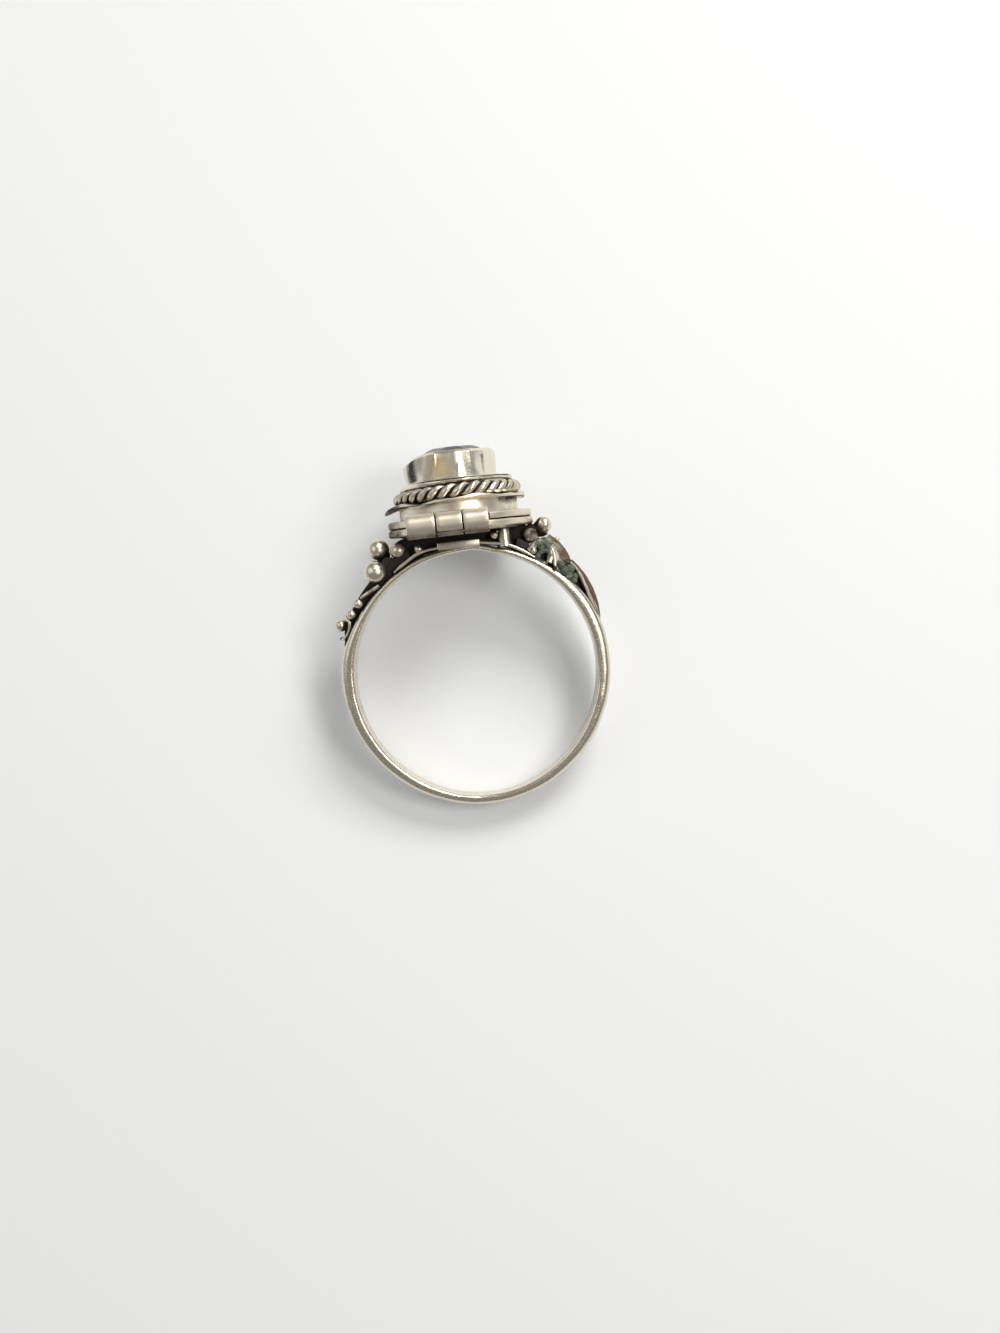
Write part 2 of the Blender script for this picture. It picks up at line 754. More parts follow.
@dataclass
class FingerBand:
    """The band round the finger, wider towards the head and worn thin under it and at the back.

    Its ramps and hills run over degrees from the head, but for dirty_edge, which runs over millimetres.
    """

    hole_radius: float = 9.05
    outer_radius: float = 10.02
    outer_rise: float = 0.12
    half_width_back: float = 1.3
    half_width_head: float = 2.5
    inner_rounding: float = 0.28
    outer_rounding: float = 0.56
    thickness_under_head: float = 0.50
    worn_back: Ramp = Ramp(125.0, 172.0, 0.14)
    thin_right: Ramp = Ramp(24.0, 68.0)
    thin_left: Ramp = Ramp(38.0, 88.0)
    kink_out: Hill = Hill(5.0, 7.0, 0.10)
    kink_in: Hill = Hill(15.0, 4.0, 0.06)
    lump_degrees: float = 14.0
    lump_along: float = 0.4
    wide_degrees: float = 20.0
    lump_height: float = 0.015
    lump_thickness: float = 0.04
    lump_width: float = 0.02
    flat_share: float = 0.3
    dirt: float = 0.85
    dirty_edge: Ramp = Ramp(-0.16, -0.02)
    dirty_ends: Ramp = Ramp(66.0, 76.0)
    clean_pad: Hill = Hill(6.0, 26.0, 0.85)
    toned_left: Hill = Hill(-100.0, 60.0, 0.33)
    finish: SilverFinish = SilverFinish("band_silver", tone=0.34, roughness=0.25, blackening=0.6, scratches=0.32)

    def outer_reach(self, degrees: float) -> float:
        """Distance of the unworn outside from the hole's centre at an angle from the head."""
        angle = math.radians(degrees)
        sideways = self.outer_rise * math.sin(angle)
        return self.outer_rise * math.cos(angle) + math.sqrt(self.outer_radius ** 2 - sideways ** 2)

    def outside(self, degrees: float) -> float:
        """Distance of the outside from the hole's centre, under the plates too."""
        thin = self.hole_radius + self.thickness_under_head
        ramp = self.thin_right if degrees > 0 else self.thin_left
        return thin + (self.outer_reach(degrees) - thin) * ramp.up(abs(degrees))

    def half_width(self, height: float) -> float:
        """Half width of the band at a height along the head's axis."""
        share = (height / self.outer_radius + 1) / 2
        return self.half_width_back + (self.half_width_head - self.half_width_back) * share

    def fitted(self, place: Vector) -> Vector:
        """Place of a point of the even hoop, 1 mm thick and 2 mm wide, on the real band."""
        radius, degrees = round_hole(place)
        lump = noise.noise(Vector((degrees / self.lump_degrees, place.z * self.lump_along, 3.0)))
        inside = self.hole_radius + self.worn_back.up(abs(degrees))
        thickness = (self.outside(degrees) - inside) * (1 + self.lump_thickness * lump)
        kink = self.kink_out.at(degrees) - self.kink_in.at(degrees)
        worn = inside + (radius - self.hole_radius) * thickness + kink + self.lump_height * lump
        wider = self.lump_width * noise.noise(Vector((degrees / self.wide_degrees, 9.0, 1.0)))
        half = self.half_width(place.y) * (1 + wider)
        edge = abs(place.z)
        along = math.copysign(max(0.0, half - (1 - edge)), place.z) if edge > self.flat_share else place.z * half
        return on_circle(worn, degrees, along)

    def patina(self, place: Vector) -> Stains:
        """Black beside the plates, and toned at the left."""
        radius, degrees = round_hole(place)
        under = self.dirty_edge.up(radius - self.outside(degrees)) * self.dirty_ends.down(abs(degrees))
        under *= 1 - self.clean_pad.at(degrees)
        return max(self.dirt * under, self.toned_left.at(degrees)), 0.0, 0.0

    def build(self, bench: Bench) -> None:
        """Build the band."""
        roundings = (self.inner_rounding, self.outer_rounding)
        section = strip_section(self.hole_radius, self.hole_radius + 1, 1, roundings, steps=7)
        bm = hoop(section, -180.0, 180.0, steps=288)
        move_all(bm, self.fitted)
        hand_worked(bm, amount=0.02, scale=0.9, seed=2.0)
        bench.piece("finger_band", bm, Body.RING, self.finish, ["shank"], self.patina, Shading.SOFT)


@dataclass
class Saddle:
    """The strip on the band, with the pad, posts and granules that carry the box."""

    band: FingerBand
    half_angle: float = 33.0
    under: float = 9.57
    thickness: float = 0.26
    half_width: float = 2.42
    curl_left: Hill = Hill(-19.0, 10.0, 0.16)
    curl_right: Hill = Hill(20.0, 9.0, 0.10)
    curled_edge: Ramp = Ramp(1.9, 2.3)
    thin_ends: Ramp = Ramp(27.0, 33.0, 0.5)
    pad_low: Point = (-1.85, 9.34, -2.52)
    pad_high: Point = (1.30, 9.90, 2.52)
    core_angle: float = 23.5
    core_half_width: float = 1.4
    core_middle_half_width: float = 1.9
    core_middle: Ramp = Ramp(9.0, 12.5)
    top: float = 10.45
    post_angle: float = 18.2
    post_radius: float = 0.49
    post_foot: float = 1.1
    post_head: float = 0.92
    granules: tuple[Granule, ...] = (
        Granule(10.13, -18.6, 0.33, 2.15), Granule(10.32, 13.6, 0.29, 2.30), Granule(10.62, 14.4, 0.15, 2.25),
    )
    black_core: Ramp = Ramp(1.85, 2.1)
    toned_post: float = 0.54
    above_strip: Ramp = Ramp(9.7, 9.9)
    finish: SilverFinish = SilverFinish("saddle_silver", tone=0.22, roughness=0.30, blackening=0.9, recess=0.7)

    def flat_topped(self, place: Vector) -> Vector:
        """Place of a point of the core, flat on top and wider in its middle."""
        radius, degrees = round_hole(place)
        if radius < (self.under + self.top) / 2:
            return place
        wider = (self.core_middle_half_width - self.core_half_width) * self.core_middle.down(abs(degrees))
        wide = self.core_half_width + wider
        return Vector((self.top * math.tan(math.radians(degrees)), self.top, place.z * wide / self.core_half_width))

    def curled(self, place: Vector) -> Vector:
        """Place of a point of the strip, with its curled edges and thin ends."""
        radius, degrees = round_hole(place)
        rise = self.curl_left.at(degrees) + self.curl_right.at(degrees)
        thin = self.thin_ends.up(abs(degrees)) * (radius - self.under)
        return on_circle(radius + rise * self.curled_edge.up(abs(place.z)) - thin, degrees, place.z)

    def patina(self, place: Vector) -> Stains:
        """Black core, and toned posts."""
        at_post = Hill(self.top * math.tan(math.radians(self.post_angle)), 0.7, self.toned_post).at(place.x)
        return max(self.black_core.down(abs(place.z)), at_post * self.above_strip.up(place.y)), 0.0, 0.0

    def build(self, bench: Bench) -> None:
        """Build the saddle."""
        section = strip_section(self.under, self.under + self.thickness, self.half_width, (0.08, 0.12),
                                steps=4)
        bm = hoop(section, -self.half_angle, self.half_angle, steps=90)
        move_all(bm, self.curled)
        for along in (-1, 1):
            post = on_circle(self.band.outer_radius, self.post_angle, along * (self.half_width - self.post_radius))
            foot = (self.under + 0.05) * math.cos(math.radians(self.post_angle))
            add_bar(bm, Vector((post.x, foot, post.z)), Vector((post.x, self.top, post.z)),
                    self.post_radius * self.post_foot, self.post_radius * self.post_head)
            for granule in self.granules:
                centre = on_circle(granule.distance, granule.degrees, along * granule.spacing)
                add_ball(bm, centre, granule.radius, granule.degrees)
        add_block(bm, self.pad_low, self.pad_high, bevel=0.08)
        section = strip_section(self.under + 0.02, self.top, self.core_half_width, (0.0, 0.06), steps=3)
        core = hoop(section, -self.core_angle, self.core_angle, steps=40)
        move_all(core, self.flat_topped)
        merge(bm, core)
        tidy(bm)
        hand_worked(bm, amount=0.03, scale=1.3, seed=5.0)
        bench.piece("saddle", bm, Body.RING, self.finish, ["seat"], self.patina)


@dataclass
class ShoulderPlate:
    """A tapering plate along one shoulder of the band, turned up under the box at its head end.

    Args:
        band: the band that it lies on.
        side: -1 for the left shoulder and 1 for the right.
    """

    band: FingerBand
    side: int
    start: float = 23.2
    end: float = 72.5
    top: float = 10.50
    end_top: float = 10.30
    gap: float = 0.02
    half_width_head: float = 2.10
    half_width_end: float = 0.80
    taper: float = 1.6
    thin_end: Ramp = Ramp(0.85, 1.0, 0.7)
    turned_across: float = 4.55
    turned_rows: tuple[tuple[float, float], ...] = ((9.98, 1.2), (9.48, 1.4))
    turned_radius: float = 0.42
    columns: tuple[float, ...] = (-0.7, -0.3, 0.3, 0.7)

    def share(self, degrees: float) -> float:
        """Share of the plate's length at an angle from the head."""
        return min(1.0, max(0.0, (degrees - self.start) / (self.end - self.start)))

    def half_width(self, share: float) -> float:
        """Half width at a share of the plate's length."""
        return self.half_width_head + (self.half_width_end - self.half_width_head) * share ** self.taper

    def tapered(self, place: Vector) -> Vector:
        """Place of a point of the even hoop, 1 mm thick and 2 mm wide, on the plate."""
        radius, degrees = round_hole(place)
        share = self.share(abs(degrees))
        under = self.band.outside(degrees) + self.gap
        over = self.top + (self.end_top - self.top) * share
        over = under + (over - under) * (1 - self.thin_end.up(share))
        depth = radius - self.band.outer_radius
        return on_circle(under + (over - under) * depth, degrees, place.z * self.half_width(share))

    def mesh(self) -> BMesh:
        """The plate's mesh."""
        base = self.band.outer_radius
        first, last = (self.start, self.end) if self.side > 0 else (-self.end, -self.start)
        bm = hoop(strip_section(base, base + 1, 1, (0.06, 0.16), steps=3), first, last, steps=60)
        for across in self.columns:
            bmesh.ops.bisect_plane(bm, geom=bm.verts[:] + bm.edges[:] + bm.faces[:], plane_co=(0, 0, across),
                                   plane_no=(0, 0, 1))
        move_all(bm, self.tapered)
        for height, reach in self.turned_rows:
            ends = (Vector((self.side * self.turned_across, height, along)) for along in (-reach, reach))
            add_bar(bm, *ends, self.turned_radius)
        return bm


@dataclass
class LeftShoulder:
    """Plate with large and small granules, a scroll wire and the frame of the last granule."""

    band: FingerBand
    granules: tuple[Granule, ...] = (
        Granule(11.72, 32.5, 0.76, 0.95), Granule(10.60, 38.9, 0.84, 1.88), Granule(10.74, 26.5, 0.60, 1.72),
        Granule(10.14, 53.4, 0.37, 1.86), Granule(10.24, 58.7, 0.37, 1.70), Granule(10.70, 64.8, 0.44, 0.75),
        Granule(11.20, 32.6, 0.56, 0.0), Granule(10.56, 38.9, 0.86, 0.0), Granule(10.74, 26.5, 0.66, 0.0),
        Granule(10.56, 64.8, 0.36, 0.0),
    )
    solder: tuple[float, float, float, float] = (10.45, -32.6, 1.95, 0.46)
    scrolls: tuple[Scroll, ...] = (
        Scroll(0.13, ((9.70, 41.6, 2.25), (9.80, 44.2, 2.22), (10.02, 48.0, 2.1), (10.20, 51.0, 1.9))),
        Scroll(0.12, ((10.60, 60.4, 1.35), (10.20, 61.6, 1.50), (9.98, 64.2, 1.45), (9.98, 67.4, 1.30),
                      (10.22, 69.6, 1.00), (10.40, 69.8, 0.60))),
    )
    granule_edge: Ramp = Ramp(1.03, 1.10)
    black_head: Ramp = Ramp(40.0, 41.5)
    black_plate: Ramp = Ramp(10.44, 10.60)
    plate_dirt: float = 0.85
    rubbed_field: Ramp = Ramp(0.3, 0.75, 0.55)
    toned_first: Ramp = Ramp(28.0, 30.0, 0.15)
    toned_next: Ramp = Ramp(37.0, 38.0, 0.20)
    toned_scroll: Hill = Hill(45.5, 5.5, 0.46)
    finish: SilverFinish = SilverFinish("left_shoulder_silver", tone=0.46, roughness=0.31)

    def patina(self, place: Vector) -> Stains:
        """Black plate and gaps, with its field rubbed and its granules toned."""
        radius, degrees = round_hole(place)
        degrees = -degrees
        shape = ShoulderPlate(self.band, -1)
        half = shape.half_width(shape.share(degrees))
        plate = self.black_plate.down(radius) * Ramp(half + 0.02, half + 0.1).down(abs(place.z))
        on_granule = max(self.granule_edge.down(granule.gap(place, -1) / granule.radius)
                         for granule in self.granules)
        between = (1 - on_granule) * self.black_head.down(degrees)
        rubbed = 1 - self.rubbed_field.up(1 - abs(place.z) / half)
        toned = self.toned_first.down(degrees) + self.toned_next.down(degrees)
        return max(max(self.plate_dirt * plate, between) * rubbed, toned, self.toned_scroll.at(degrees)), 0.0, 0.0

    def build(self, bench: Bench) -> None:
        """Build the shoulder."""
        bm = ShoulderPlate(self.band, -1).mesh()
        for number, granule in enumerate(self.granules):
            granule.add(bm, -1, number)
        add_cross_bar(bm, *self.solder)
        for along in (-1, 1):
            for scroll in self.scrolls:
                scroll.add(bm, -1, along)
        tidy(bm)
        bench.piece("left_shoulder_granules", bm, Body.RING, self.finish, ["left_shoulder"],
                    self.patina)


def curve(first: float, middle: float, last: float, share: float) -> float:
    """Smooth curve from one value to another, pulled towards a middle one."""
    return first * (1 - share) ** 2 + 2 * share * (1 - share) * middle + last * share ** 2


@dataclass(frozen=True)
class Leaf:
    """One curled leaf of the right shoulder, its sizes in millimetres and degrees from the head.

    Args:
        start, end: angles of its two ends.
        edge_start, edge_end: distance of its rolled edge from the hole's centre at each end.
        crest: distance of its ridge at its start, its middle and its end.
        widths: half width along the finger at the same places.
    """

    start: float
    end: float
    edge_start: float
    edge_end: float
    crest: tuple[float, float, float]
    widths: tuple[float, float, float]

    RIM = Hill(0.93, 0.10, 0.13)
    VEIN = Hill(0.0, 0.12, 0.06)
    GROOVE = Hill(0.25, 0.15, 0.04)
    RIBBED = Ramp(0.1, 0.3)
    EDGE_SETTLES = Ramp(0.0, 0.8)
    RIB_HEIGHT = 0.03
    RIB_WAVES = 34
    RIB_SLANT = 5
    FALL = 2.2
    THICKNESS = 0.16

    def width(self, share: float) -> float:
        """Half width at a share of the leaf's length."""
        return curve(*self.widths, share)

    def place(self, along: float, across: float) -> Vector:
        """Point of the leaf's face at shares -1 to 1 of its length and width."""
        share, away = (along + 1) / 2, abs(across)
        crest = curve(*self.crest, share)
        edge = self.edge_start + (self.edge_end - self.edge_start) * self.EDGE_SETTLES.up(share)
        rib = self.RIB_HEIGHT * math.cos(share * self.RIB_WAVES - away * self.RIB_SLANT)
        rib *= (1 - away) * self.RIBBED.up(away)
        relief = self.RIM.at(away) + (self.VEIN.at(away) - self.GROOVE.at(away)) + rib
        degrees = self.start + (self.end - self.start) * share
        return on_circle(crest + (edge - crest) * away ** self.FALL + relief, degrees, across * self.width(share))

    def add(self, bm: BMesh) -> None:
        """Add the leaf as a shell of even thickness."""
        part = bmesh.new()
        bmesh.ops.create_grid(part, x_segments=48, y_segments=44, size=1.0)
        move_all(part, lambda place: self.place(place.x, place.y))
        bmesh.ops.recalc_face_normals(part, faces=part.faces)
        if sum(face.normal.dot(face.calc_center_median()) for face in part.faces) < 0:
            bmesh.ops.reverse_faces(part, faces=part.faces)
        bmesh.ops.solidify(part, geom=part.faces, thickness=self.THICKNESS)
        merge(bm, part)


@dataclass
class RightShoulder:
    """Plate with two curled leaves, a bracket with an eye, and granules at its head."""

    band: FingerBand
    leaves: tuple[Leaf, ...] = (
        Leaf(33.8, 48.0, 11.25, 9.66, (11.62, 11.62, 10.75), (1.5, 2.7, 2.1)),
        Leaf(46.5, 72.5, 10.70, 9.92, (11.02, 10.98, 10.12), (1.9, 2.3, 0.6)),
    )
    granules: tuple[Granule, ...] = (
        Granule(12.12, 30.6, 0.61, 0.82), Granule(10.98, 27.6, 0.53, 1.75), Granule(10.02, 31.3, 0.26, 2.28),
        Granule(11.62, 37.4, 0.21, 0.90), Granule(10.72, 32.2, 0.36, 2.00),
    )
    crust: tuple[Granule, ...] = (
        Granule(10.16, 44.3, 0.36, 1.98), Granule(10.02, 46.8, 0.38, 2.00), Granule(10.34, 48.2, 0.42, 1.80),
        Granule(9.98, 49.6, 0.34, 1.95), Granule(10.26, 51.6, 0.32, 1.75), Granule(9.96, 52.6, 0.26, 1.90),
        Granule(9.80, 34.0, 0.30, 2.10), Granule(10.45, 33.6, 0.42, 1.85), Granule(10.85, 30.2, 0.30, 1.75),
    )
    support: Granule = Granule(11.72, 30.6, 0.56, 0.0)
    support_seed: int = 41
    first_seed: int = 20
    fill: tuple[tuple[float, float, float, float], ...] = (
        (10.75, 34.5, 1.8, 0.66), (11.92, 28.3, 0.6, 0.20), (11.46, 26.9, 1.0, 0.40), (11.20, 24.6, 1.2, 0.42),
        (10.35, 46.5, 1.5, 0.60),
    )
    bracket: Scroll = Scroll(0.30, (
        (9.80, 29.5, 2.05), (10.30, 30.5, 2.05), (10.75, 32.5, 1.95), (10.85, 35.0, 1.95), (10.55, 37.4, 2.05),
        (10.15, 38.8, 2.15), (9.75, 39.6, 2.2)))
    scrolls: tuple[Scroll, ...] = (
        Scroll(0.16, ((9.72, 29.0, 2.05), (9.64, 33.0, 2.1), (9.66, 39.0, 2.1))),
        Scroll(0.13, ((10.95, 34.4, 2.0), (10.78, 37.6, 2.2), (10.30, 40.4, 2.35), (9.90, 42.2, 2.38),
                      (9.62, 43.4, 2.35))),
    )
    eye: Granule = Granule(9.98, 36.6, 0.31, 2.1)
    eye_ring_along: float = 2.12
    eye_ring_radius: float = 0.50
    eye_ring_wire: float = 0.20
    eye_ring_uneven: float = 0.12
    leaf_low: float = 9.9
    brown_face: Ramp = Ramp(0.70, 0.88, 0.95)
    pale_rim: Ramp = Ramp(0.76, 0.90)
    green_zones: tuple[tuple[Hill, Ramp], ...] = (
        (Hill(34.8, 8.2), Ramp(11.2, 11.5)),
        (Hill(48.0, 8.5, 0.95), Ramp(10.70, 10.90)),
        (Hill(31.0, 6.0, 0.80), Ramp(11.5, 11.8)),
    )
    green_crust: Ramp = Ramp(1.02, 1.12, 0.95)
    black_foot: Ramp = Ramp(9.75, 10.1, 0.7)
    toned_ball: Ramp = Ramp(0.5, 0.62)
    behind_ball: Ramp = Ramp(28.2, 29.2)
    green_most: float = 0.85
    green_black: float = 0.36
    green_over_black: float = 0.8
    green_over_brown: float = 0.7
    brown_black: float = 0.40
    ball_black: float = 0.58
    ball_brown: float = 0.55
    finish: SilverFinish = SilverFinish("right_shoulder_silver", tone=0.50, roughness=0.32, blackening=0.9,
                                        recess=0.6, stain_cover=0.95)

    def add_eye_ring(self, bm: BMesh, along: int) -> None:
        """Add the uneven ring round the eye on one side."""
        centre = on_circle(self.eye.distance, self.eye.degrees, self.eye_ring_along * along)
        steps = 10
        route = []
        for turn in (FULL_TURN * k / steps for k in range(steps + 1)):
            reach = self.eye_ring_radius * (1 + self.eye_ring_uneven * math.sin(2 * turn + 1))
            route.append(centre + reach * Vector((math.cos(turn), math.sin(turn), 0)))
        add_wire(bm, route, self.eye_ring_wire)

    def build(self, bench: Bench) -> None:
        """Build the shoulder."""
        bm = ShoulderPlate(self.band, 1).mesh()
        for leaf in self.leaves:
            leaf.add(bm)
        for number, granule in enumerate(self.granules + self.crust):
            granule.add(bm, 1, self.first_seed + number)
        self.support.add(bm, 1, self.support_seed)
        for row in self.fill:
            add_cross_bar(bm, *row)
        for along in (-1, 1):
            self.bracket.add(bm, 1, along)
            self.add_eye_ring(bm, along)
            for scroll in self.scrolls:
                scroll.add(bm, 1, along)
        tidy(bm)
        hand_worked(bm, amount=0.03, scale=2.1, seed=7.0)
        bench.piece("right_shoulder_leaves", bm, Body.RING, self.finish, ["right_shoulder"],
                    self.patina)

    def patina(self, place: Vector) -> Stains:
        """Blackening, green and brown at a point of the shoulder."""
        radius, degrees = round_hole(place)
        brown, pale = 0.0, 0.0
        for leaf in self.leaves:
            share = (degrees - leaf.start) / (leaf.end - leaf.start)
            if 0 <= share <= 1 and radius > self.leaf_low:
                across = abs(place.z) / leaf.width(share)
                brown = max(brown, self.brown_face.down(across))
                pale = max(pale, self.pale_rim.up(across))
        eye = Ramp(self.eye.radius, self.eye.radius + 0.10).down(self.eye.gap(place, 1))
        bead = max(Ramp(granule.radius + 0.01, granule.radius + 0.08).down(granule.gap(place, 1))
                   for granule in self.granules[2:4])
        crusted = max(self.green_crust.down(lump.gap(place, 1) / lump.radius) for lump in self.crust)
        green = max(crusted, *(hill.at(degrees) * ramp.down(radius) for hill, ramp in self.green_zones))
        low = self.black_foot.down(radius) * (1 - pale) * (1 - self.green_over_black * green)
        ball = self.toned_ball.down(self.granules[1].gap(place, 1))
        behind = self.behind_ball.down(degrees) * (1 - ball)
        brown *= 1 - bead
        green *= 1 - bead
        black = max(low, eye, self.ball_black * ball, behind, self.green_black * green * (1 - brown),
                    self.brown_black * brown)
        shown_green = self.green_most * green * (1 - eye) * (1 - ball) * (1 - behind)
        return black, shown_green, max(brown * (1 - self.green_over_brown * green), self.ball_brown * ball)


@dataclass
class Head:
    """Sizes that the box, the lid and what stands on it share, in the ring's millimetres."""

    hinge_height: float
    hinge_along: float
    parting_gap: float = 0.05
    extra: float = 0.80
    knuckle_radius: float = 0.92
    knuckle_inset: float = 0.10
    knuckle_room: float = 0.16
    knuckle_joints: tuple[float, ...] = (-3.83, -1.68, 0.29, 2.17)
    box_knuckles: tuple[int, ...] = (0, 2)
    lid_knuckles: tuple[int, ...] = (1,)
    knuckle_gap: float = 0.04
    knuckle_rounding: float = 0.08
    knuckle_collar: float = 0.35
    knuckle_waist: float = 0.02
    pin_radius: float = 0.28
    pin_room: float = 0.04
    leaf_start: float = 3.7
    leaf_inset: float = 0.45
    lean: Ramp = Ramp(12.3, 13.2, 0.022)
    rise: Ramp = Ramp(12.98, 13.45, 0.038)
    seam_reach: float = 0.13
    seam_black: float = 0.9
    brown_below: Ramp = Ramp(10.40, 11.05, 0.72)
    brown_near: Ramp = Ramp(5.3, 5.7)

    def leaning(self, place: Vector) -> Vector:
        """The upper head leans a little to one side and rises towards the hinge."""
        near = self.rise.up(place.y) * max(0.0, place.z)
        return Vector((place.x, place.y + self.lean.up(place.y) * place.x + near, place.z))

    def make_room(self, bm: BMesh, knuckles: Iterable[int]) -> None:
        """Push a rim back from the knuckles of the other half of the hinge."""
        radius = self.knuckle_radius + self.knuckle_room
        for index in knuckles:
            left = self.knuckle_joints[index] - self.knuckle_gap
            right = self.knuckle_joints[index + 1] + self.knuckle_gap
            for vert in bm.verts:
                height = abs(vert.co.y - self.hinge_height)
                if left <= vert.co.x <= right and height < radius:
                    limit = self.hinge_along - math.sqrt(radius ** 2 - height ** 2)
                    vert.co.z = min(vert.co.z, limit)

    def seam(self, place: Vector) -> float:
        """How black a point of the hinge is from a seam between two knuckles."""
        away = math.hypot(place.y - self.hinge_height, place.z - self.hinge_along)
        at_hinge = Ramp(self.knuckle_radius + 0.02, self.knuckle_radius + 0.2, self.seam_black).down(away)
        return at_hinge * max(Hill(joint, self.seam_reach).at(place.x) for joint in self.knuckle_joints[1:-1])

    def toned_below(self, place: Vector) -> float:
        """How brown the lower part of the hinge's knuckles is."""
        return self.brown_below.down(place.y) * self.brown_near.up(place.z)

    def knuckle_ends(self, index: int) -> tuple[float, float]:
        """Left and right end of one knuckle."""
        gap = self.knuckle_gap / 2
        return self.knuckle_joints[index] + gap, self.knuckle_joints[index + 1] - gap

    def add_knuckle(self, bm: BMesh, index: int) -> None:
        """Add one knuckle: a short tube with eased ends and a slight waist."""
        left, right = self.knuckle_ends(index)
        bore, radius = self.pin_radius + self.pin_room, self.knuckle_radius
        outline = rounded_outline([
            (left, bore, 0.0), (left, radius, self.knuckle_rounding), (left + self.knuckle_collar, radius, 0.0),
            ((left + right) / 2, radius - self.knuckle_waist, 0.0), (right - self.knuckle_collar, radius, 0.0),
            (right, radius, self.knuckle_rounding), (right, bore, 0.0),
        ], steps=4)
        along = self.hinge_along - self.knuckle_inset
        verts = [bm.verts.new((x, self.hinge_height + reach, along)) for x, reach in outline]
        edges = [bm.edges.new(pair) for pair in zip(verts, verts[1:] + verts[:1])]
        bmesh.ops.spin(bm, geom=verts + edges, cent=(0, self.hinge_height, along), axis=(1, 0, 0),
                       angle=FULL_TURN, steps=64, use_merge=True)

    def add_leaf(self, bm: BMesh, index: int, low: float, high: float) -> None:
        """Add the flat leaf that carries one knuckle from the rim."""
        left, right = self.knuckle_ends(index)
        add_block(bm, (left, low, self.leaf_start), (right, high, self.hinge_along - self.leaf_inset),
                  bevel=0.05)

    def add_hinge(self, bm: BMesh, own: Iterable[int], others: Iterable[int], low: float, high: float) -> None:
        """Add the knuckles that one half of the head carries, and clear the way for the others.

        Args:
            bm: the half's mesh.
            own: numbers of its knuckles.
            others: numbers of the other half's knuckles.
            low, high: heights between which its rim carries them.
        """
        for index in own:
            self.add_leaf(bm, index, low, high)
        self.make_room(bm, others)
        for index in own:
            self.add_knuckle(bm, index)


@dataclass
class LocketBox:
    """The oval box: floor, wall, rim, catch lip and the two outer knuckles."""

    head: Head
    floor_under: float = 10.48
    floor_top: float = 10.80
    rim_under: float = 10.62
    wall_reach: float = 4.62
    rim_reach: float = 5.42
    cavity_reach: float = 3.62
    lip_reach: float = 3.88
    lip_height: float = 0.36
    underside: Ramp = Ramp(10.46, 10.68, 0.56)
    underside_near: Ramp = Ramp(5.0, 5.4, 0.4)
    inside_floor: Ramp = Ramp(10.70, 10.80, 0.35)
    inside_wall: Ramp = Ramp(3.7, 3.9)
    oval: float = 1.2
    toned_left: Ramp = Ramp(-4.6, -3.5, 0.46)
    brown_left: float = 0.4
    finish: SilverFinish = SilverFinish("box_silver", tone=0.40, roughness=0.40, blackening=0.9, recess=0.45)

    def patina(self, place: Vector) -> Stains:
        """Dark underside, floor, left end and seams, and brown below the hinge."""
        under = self.underside.down(place.y) * (1 - self.underside_near.up(place.z))
        inside = self.inside_floor.up(place.y) * self.inside_wall.down(math.hypot(place.x, place.z / self.oval))
        left = self.toned_left.down(place.x)
        black = max(under, inside, left, self.head.seam(place))
        return black, 0.0, max(self.head.toned_below(place), self.brown_left * left)

    def build(self, bench: Bench) -> None:
        """Build the box and the hinge pin."""
        height, along, joints = self.head.hinge_height, self.head.hinge_along, self.head.knuckle_joints
        top = height - self.head.parting_gap / 2
        lip_top = height + self.lip_height
        outline = rounded_outline([
            (0.0, self.floor_under, 0.0), (self.wall_reach - 0.25, self.floor_under, 0.08),
            (self.wall_reach, self.rim_under, 0.0), (self.rim_reach, self.rim_under, 0.17),
            (self.rim_reach, top, 0.17), (self.lip_reach, top, 0.0), (self.lip_reach, lip_top, 0.05),
            (self.cavity_reach, lip_top, 0.05), (self.cavity_reach, self.floor_top, 0.10),
            (0.0, self.floor_top, 0.0),
        ], steps=5)
        bm = lathe(outline, steps=144)
        make_oval(bm, self.head.extra)
        hand_worked(bm, amount=0.03, scale=0.8, seed=11.0)
        self.head.add_hinge(bm, self.head.box_knuckles, self.head.lid_knuckles, self.rim_under, top)
        tidy(bm)
        bench.piece("locket_box", bm, Body.RING, self.finish, ["box"], self.patina)
        pin = bmesh.new()
        add_bar(pin, Vector((joints[0], height, along)), Vector((joints[-1], height, along)), self.head.pin_radius)
        bench.piece("hinge_rod", pin, Body.RING, self.finish, ["hinge_pin"])


